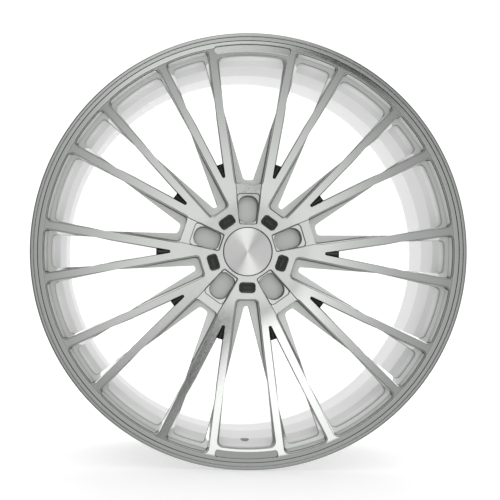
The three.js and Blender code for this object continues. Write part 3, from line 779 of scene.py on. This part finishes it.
pocket_outline = rounded([
    ((38.6, -12.2), 3.0), ((83.0, -17.4), 5.5), ((83.0, 17.4), 5.5), ((38.6, 12.2), 3.0),
])
pad_outline = rounded([
    ((41.5, -12.4), 8.5), ((79.2, -14.7), 14.6), ((79.2, 14.7), 14.6), ((41.5, 12.4), 8.5),
], 12)
bridge_outline = [Vector((80.0, -16.9)), Vector((97.0, -18.6)), Vector((97.0, 18.6)), Vector((80.0, 16.9))]
for lug in LUG_ANGLES:
    for tool in (
        milled("pocket_tool", pocket_outline, SHELF, lug, lean=1.4),
        milled("bridge_tool", bridge_outline, HUB_LEVEL - 3.0, lug, 0.3, 0.8),
    ):
        centre = combined(centre, tool, "DIFFERENCE")
    pad = lofted("pad_tool", [
        [on_wheel(turned_by(point, lug), level) for point in outline]
        for outline, level in (
            (grown(pad_outline, -0.6), PAD_LEVEL),
            (grown(pad_outline, -0.2), PAD_LEVEL + 0.6),
            (pad_outline, SHELF - 0.5),
            (grown(pad_outline, 0.5), SHELF),
            (grown(pad_outline, 0.5), SHELF + 5),
        )
    ])
    centre = combined(centre, pad, "DIFFERENCE")
report(centre)

# %% Mill the seats for the inserts and wedges
INSERT = {"inner": 43.5, "outer": 57.7, "half": 10.95, "fillet": 4.5}


def insert_outline(margin):
    low, high = INSERT["inner"] - margin, INSERT["outer"] + margin
    half, fillet = INSERT["half"] + margin, INSERT["fillet"] + margin
    corners = [(low, -half), (high, -half), (high, half), (low, half)]
    return rounded([(corner, fillet) for corner in corners])


def wedge_outline(lug, hand, inset):
    left, right = narrow_sides(lug, hand)

    def edge(side, radius):
        return at_radius(side["inner"], polar(RING_INNER, side["angle"]), radius)

    inner, outer = 109.1 + inset, 129.1 - inset
    corners = []
    for here, there, radius, fillet in (
        (right, left, inner, 1.2), (right, left, outer, 0),
        (left, right, outer, 0), (left, right, inner, 1.2),
    ):
        start, across = edge(here, radius), edge(there, radius)
        corners.append((start + (across - start).normalized() * inset, fillet))
    return rounded(corners)


WEDGE_TOP = face_level(119.1) - 1.2
WEDGE_FLOOR = WEDGE_TOP - 11.0
for lug in LUG_ANGLES:
    seat = milled("insert_seat", insert_outline(0.3), HUB_LEVEL - 7.3, lug + 36, 0.6)
    centre = combined(centre, seat, "DIFFERENCE")
    for hand in (1, -1):
        outline = wedge_outline(lug, hand, 0.0)
        levels = (WEDGE_FLOOR - 0.3, FRONT + 20)
        seat = lofted("wedge_seat", [[on_wheel(p, level) for p in outline] for level in levels])
        centre = combined(centre, seat, "DIFFERENCE")
report(centre)

# %% Mill the two blank slots in the ring


SLOT_POINTS = 25
CORNER_SHARE = 0.78     # the points between the corners stay within this share, so the fillets fit


def slot_outline(degrees, half, inner, outer, margin=0.0):
    turn = math.degrees(margin / outer)
    reach = half + turn
    between = SLOT_POINTS - 3
    inside = [reach * CORNER_SHARE * (2 * step / between - 1) for step in range(between + 1)]
    angles = [degrees + offset for offset in (-reach, *inside, reach)]
    corners = [(polar(outer + margin, angle), 0) for angle in angles]
    corners += [(polar(inner - margin, angle), 0) for angle in reversed(angles)]
    fillet = (outer - inner) / 2 + margin
    for place in (0, SLOT_POINTS - 1, SLOT_POINTS, 2 * SLOT_POINTS - 1):
        corners[place] = (corners[place][0], fillet * 0.98)
    return rounded(corners)


SLOTS = ((90, 10.8, 274.6, 284.0), (270, 8.8, 274.6, 284.0))
for degrees, half, inner, outer in SLOTS:
    flat = slot_outline(degrees, half, inner, outer)
    wide = slot_outline(degrees, half, inner, outer, 0.6)
    slot_tool = lofted("slot_tool", [
        [on_wheel(p, RING_LEVEL - 4.0) for p in flat],
        [on_wheel(p, face_level(p.length) - 0.5) for p in flat],
        [on_wheel(p, face_level(p.length)) for p in wide],
        [on_wheel(p, RING_LEVEL + 10) for p in wide],
    ])
    centre = combined(centre, slot_tool, "DIFFERENCE")

# %% Drill the bolt holes from behind and finish the centre


def rod(name, radius, low, high, degrees, sides=24):
    """A round bar along the axle on the bolt circle."""
    middle = polar(BOLT_CIRCLE, degrees)
    bpy.ops.object.select_all(action="DESELECT")
    bpy.ops.mesh.primitive_cylinder_add(
        vertices=sides, radius=radius * MM, depth=(high - low) * MM,
        location=on_wheel(middle, (low + high) / 2), rotation=(math.pi / 2, 0, 0),
    )
    bpy.context.active_object.name = name
    bpy.ops.object.transform_apply(location=True, rotation=True, scale=True)
    return bpy.context.active_object


drills = [rod("drill", 4.3, FOOT_BACK - 20, FOOT_BACK + 16, angle) for angle in BOLT_ANGLES]
centre = combined(centre, joined("drills", drills), "DIFFERENCE")
smooth(centre, 20)
fit(centre, "wheel", ALLOY, ["wheel_centre"])

# %% [markdown]
# ## Barrel
# The barrel's section follows a real rim: a rounded lip with one fine groove, the register, a bead
# seat behind each flange with its safety hump, and the drop well that lets a tyre be fitted. All of
# it is one closed section, so the wall has its true thickness everywhere.

# %% Turn the barrel


def barrel_section():
    seat_end = FLANGE_ROOT - 20.4
    ramp_head, ramp_foot = FRONT - 62, FRONT - 145
    band = FRONT - 1.2
    corners = [
        ((288.8, FRONT - 8), 0), ((288.8, band), 0.4),
        ((293.2, band), 0.2), ((293.2, band - 1), 0.2), ((294.1, band - 1), 0.2), ((294.1, FRONT), 0.5),
        ((FLANGE_RADIUS, FRONT), 2.2), ((FLANGE_RADIUS, FRONT - 8), 4),
        ((FLANGE_RADIUS - 3, FLANGE_ROOT), 2), ((BEAD_SEAT + 0.5, FLANGE_ROOT), 5),
        ((BEAD_SEAT, seat_end + 4), 2), ((BEAD_SEAT + 0.9, seat_end), 3), ((BEAD_SEAT, seat_end - 6), 4),
        ((269.5, ramp_head), 6), ((269.5, ramp_foot), 8), ((278.5, ramp_foot - 23), 8),
        ((278.5, -seat_end + 14), 8), ((BEAD_SEAT + 0.9, -seat_end), 3), ((BEAD_SEAT, -seat_end - 4), 2),
        ((BEAD_SEAT + 0.5, -FLANGE_ROOT), 5), ((FLANGE_RADIUS - 3, -FLANGE_ROOT), 2),
        ((FLANGE_RADIUS, -FRONT + 8), 4), ((FLANGE_RADIUS, -FRONT), 2.2),
        ((LEDGE_INNER + 5, -FRONT), 1.5), ((LEDGE_INNER, -FRONT + 5), 3),
        ((LEDGE_INNER, ramp_foot - 23), 10), ((WELL_INNER, ramp_foot), 10), ((WELL_INNER, ramp_head), 6),
        ((269.6, ramp_head + 16), 6), ((270.6, RING_BACK - 21), 0), ((279.8, FRONT - 8), 0),
    ]
    return rounded(corners, 5)


barrel = turned("barrel_spinning", barrel_section(), 240)
report(barrel)

# %% [markdown]
# The centre's bolts come from behind, so the barrel carries a small tab behind each spoke's foot,
# where the spoke hides it. The valve hole is drilled through the front ramp at the bottom.

# %% Add the tabs, then drill them and the valve hole


def tab(degrees):
    outline = rounded([
        ((BOLT_CIRCLE - 7.5, -8), 5), ((273.0, -8), 0), ((273.0, 8), 0), ((BOLT_CIRCLE - 7.5, 8), 5),
    ])
    levels = (FOOT_BACK - 12.0, FOOT_BACK - 0.3)
    return lofted("tab", [[on_wheel(turned_by(p, degrees), level) for p in outline] for level in levels])


tabs = [tab(angle) for angle in BOLT_ANGLES]
barrel = combined(barrel, joined("tabs", tabs), "UNION")
drills = [rod("drill", 4.3, FOOT_BACK - 30, FOOT_BACK + 1, angle) for angle in BOLT_ANGLES]
barrel = combined(barrel, joined("drills", drills), "DIFFERENCE")
bpy.ops.object.select_all(action="DESELECT")
bpy.ops.mesh.primitive_cylinder_add(
    vertices=32, radius=VALVE_RADIUS * MM, depth=40 * MM, location=on_wheel((0, -269.5), VALVE_LEVEL),
)
bpy.ops.object.transform_apply(location=True, rotation=True, scale=True)
barrel = combined(barrel, bpy.context.active_object, "DIFFERENCE")
smooth(barrel)
fit(barrel, "wheel", BARREL_METAL, ["barrel"])

# %% [markdown]
# ## Centre cap and its ring
# The cap is a turned disc with a skirt that pushes into the hub's bore. Its face is very slightly
# crowned, which is what lets the spun highlight run to the edge. The wire ring sits in the skirt's
# groove.

# %% Cap and ring
CAP_FACE = HUB_LEVEL - 0.8
CAP_BACK = CAP_FACE - 4.5
SKIRT_END = CAP_BACK - 17.0


def cap_section():
    groove = SKIRT_END + 6
    crown = [((33.8 * step / 10, CAP_FACE + 0.35 * (1 - (step / 10) ** 2)), 0) for step in range(10)]
    corners = [
        ((0.0, CAP_BACK), 0), ((26.8, CAP_BACK), 0.6), ((26.8, SKIRT_END), 0.4), ((29.2, SKIRT_END), 0.3),
        ((30.0, SKIRT_END + 1.2), 0.3), ((30.0, groove - 2.6), 0), ((28.4, groove - 2.6), 0),
        ((28.4, groove), 0), ((30.0, groove), 0), ((30.0, CAP_BACK), 0.4), ((33.8, CAP_BACK), 0.3),
        ((33.8, CAP_FACE), 0.8),
    ]
    return rounded(corners + crown[::-1], 4)


cap = turned("centre_cap_turned", cap_section(), 128)
smooth(cap)
fit(cap, "cap", CAP_METAL, ["centre_cap"])

bpy.ops.object.select_all(action="DESELECT")
bpy.ops.mesh.primitive_torus_add(
    major_radius=29.7 * MM, minor_radius=1.0 * MM, major_segments=96, minor_segments=12,
    location=on_wheel((0, 0), SKIRT_END + 4.7), rotation=(math.pi / 2, 0, 0),
)
ring = bpy.context.active_object
ring.name = "cap_ring_wire"
bpy.ops.object.transform_apply(location=True, rotation=True, scale=True)
smooth(ring, 60)
fit(ring, "cap", WIRE, ["cap_retaining_ring"])

# %% [markdown]
# ## Black inserts
# Each insert between the lug pockets is a small tray: a rounded rim, a step down, and a raised bar
# inside. It is drawn once for each place as a stack of outlines, because its rounded outline shrinks
# evenly from rim to bar.

# %% Hub inserts
for place, lug in enumerate(LUG_ANGLES):
    outline = insert_outline(0.0)
    stack = (
        (0.0, -7.0), (0.0, -1.6), (-0.25, -1.1), (-0.7, -0.85), (-1.3, -0.8), (-2.3, -0.9), (-2.7, -1.2),
        (-2.8, -5.0), (-4.1, -5.0), (-4.3, -1.9), (-4.7, -1.6),
    )
    rings = [
        [on_wheel(turned_by(p, lug + 36), HUB_LEVEL + drop) for p in grown(outline, margin)]
        for margin, drop in stack
    ]
    insert = smooth(lofted(f"hub_insert_tray_{place + 1}", rings), 35)
    fit(insert, "wheel", BLACK, [f"hub_insert_{place + 1}"])

# %% [markdown]
# The wedges in the crotches have a crease along the middle, where their two top faces meet.

# %% Crotch wedges
for place, lug in enumerate(LUG_ANGLES):
    for side, hand in enumerate((1, -1)):
        outline = wedge_outline(lug, hand, 0.3)
        axis = polar(1, lug + hand * CROTCH_ANGLE)
        middle = sum(outline, Vector((0, 0))) / len(outline)
        rings = [
            [on_wheel(p, WEDGE_FLOOR) for p in outline],
            [on_wheel(p, WEDGE_TOP - 1.6) for p in outline],
            [on_wheel(p, WEDGE_TOP - 1.3) for p in grown(outline, -0.3)],
        ]
        crease = []
        for point in grown(outline, -0.3):
            run = (point - middle).dot(axis)
            across = point - middle - axis * run
            crease.append(on_wheel(middle + axis * run * 0.9 + across * 0.12, WEDGE_TOP))
        wedge = lofted(f"crotch_wedge_{2 * place + side + 1}", rings + [crease])
        smooth(wedge, 30)
        fit(wedge, "wheel", BLACK, [f"spoke_wedge_{2 * place + side + 1}"])

# %% [markdown]
# ## Assembly bolts
# One bolt is modelled and then copied to each spoke's foot: a hexagon head with a chamfered crown
# over a plain shank.

# %% Bolts
HEAD_TOP = FOOT_BACK - 12.3


def bolt(name, degrees):
    head = rod("head", 7.45, HEAD_TOP - 6.4, HEAD_TOP, degrees, 6)
    crown = lofted("crown", [
        [on_wheel(polar(BOLT_CIRCLE, degrees) + polar(radius, 15 * step), level) for step in range(24)]
        for radius, level in ((6.3, HEAD_TOP - 6.41), (7.6, HEAD_TOP - 5.6), (7.6, HEAD_TOP + 0.01))
    ])
    head = combined(head, crown, "INTERSECT")
    shank = rod("shank", 3.98, HEAD_TOP - 1, FOOT_BACK + 14, degrees)
    head = combined(head, shank, "UNION")
    head.name = name
    return smooth(head, 30)


for number, degrees in enumerate(BOLT_ANGLES, 1):
    fit(bolt(f"bolt_{number}", degrees), "wheel", ZINC, [f"assembly_bolt_{number}"])

# %% [markdown]
# ## Studio
# Bare metal has almost no colour of its own: it shows the room. So the room is what is designed
# here. The floor glows a little, like a light table, and fades into a white backdrop. The metal
# sees a dimmer room, set by direction: a soft light straight ahead that falls off to dark sides,
# more so to the left and below, a white wall behind the wheel, a bright softbox above the camera,
# and a narrow black flag beside it.

# %% Floor
FLOOR_Z = BARREL_LOW.z
bpy.ops.object.select_all(action="DESELECT")
bpy.ops.mesh.primitive_plane_add(size=12, location=(0, 0, FLOOR_Z))
floor = bpy.context.active_object
floor.name = "floor"
bpy.ops.object.transform_apply(location=True, rotation=True, scale=True)
floor_white, floor_shader = new_material(
    "white_floor", Roughness=0.6, Emission_Color=(1, 1, 1, 1), Emission_Strength=0.4,
)
cloud = add_node(
    floor_white, "ShaderNodeTexNoise",
    {"Vector": add_node(floor_white, "ShaderNodeTexCoord").outputs["Object"], "Scale": 3.0},
)
floor_tone = blended(floor_white, cloud.outputs["Fac"], "#f7f7f7", "#fdfdfd")
link(floor_white, floor_tone, floor_shader.inputs["Base Color"])
floor.data.materials.append(floor_white)
floor.visible_glossy = False

# %% Room
AHEAD = 1.2             # brightness of the room straight ahead of the wheel
SIDES = 0.36
BEHIND = 0.85
GROUND = 0.8            # the lit floor, seen by edges that face down
SOFTBOX = 0.95
SOFTBOX_SPAN = (67, 116)    # directions round the axle, in degrees
FLAG_SPAN = (43, 65)
FLAG = 0.95             # share of the light that the flag holds back
world = bpy.data.worlds.new("studio")
bpy.context.scene.world = world
world.use_nodes = True
direction = add_node(
    world, "ShaderNodeSeparateXYZ", {"Vector": add_node(world, "ShaderNodeTexCoord").outputs["Generated"]},
)
right, back, up = (direction.outputs[axis] for axis in "XYZ")
ahead = calculate(world, "MULTIPLY", back, -1.0)
azimuth = calculate(world, "ARCTAN2", up, right)


def sector(start, end, soft, lowest):
    """1 in a sector of the room ahead, between two directions round the axle, in degrees."""
    low, high, blur = math.radians(start), math.radians(end), math.radians(soft)
    inside = calculate(world, "MINIMUM", ramp(world, azimuth, low - blur, low + blur),
                       ramp(world, azimuth, high + blur, high - blur))
    above = calculate(world, "MINIMUM", inside, ramp(world, up, lowest, lowest + 0.15))
    return calculate(world, "MULTIPLY", above, ramp(world, ahead, -0.1, 0.3))


front = ramp(world, ahead, 0.74, 1.0, SIDES, AHEAD)
front = calculate(world, "MULTIPLY", front, ramp(world, right, -0.32, -0.05, 0.7, 1.0))
front = calculate(world, "MULTIPLY", front, ramp(world, up, -0.4, -0.05, 0.85, 1.0))
room = calculate(world, "ADD", front, ramp(world, back, 0.1, 0.5, 0, BEHIND))
room = calculate(world, "ADD", room, ramp(world, up, -0.65, -0.85, 0.0, GROUND))
room = calculate(world, "MULTIPLY_ADD", sector(*SOFTBOX_SPAN, 1.5, 0.0), SOFTBOX, room)
flag = calculate(world, "MULTIPLY", sector(*FLAG_SPAN, 1.5, -0.1), ramp(world, up, 0.33, 0.52, 1.0, 0.45))
shade = calculate(world, "MULTIPLY_ADD", flag, -FLAG, 1.0)
room = calculate(world, "MULTIPLY", room, shade)
seen = add_node(world, "ShaderNodeLightPath").outputs["Is Camera Ray"]
link(world, calculate(world, "MAXIMUM", room, seen), world.node_tree.nodes["Background"].inputs["Strength"])
world.node_tree.nodes["Background"].inputs["Color"].default_value = (1, 1, 1, 1)
bpy.context.scene.view_settings.view_transform = "Standard"
print("room nodes:", len(world.node_tree.nodes))
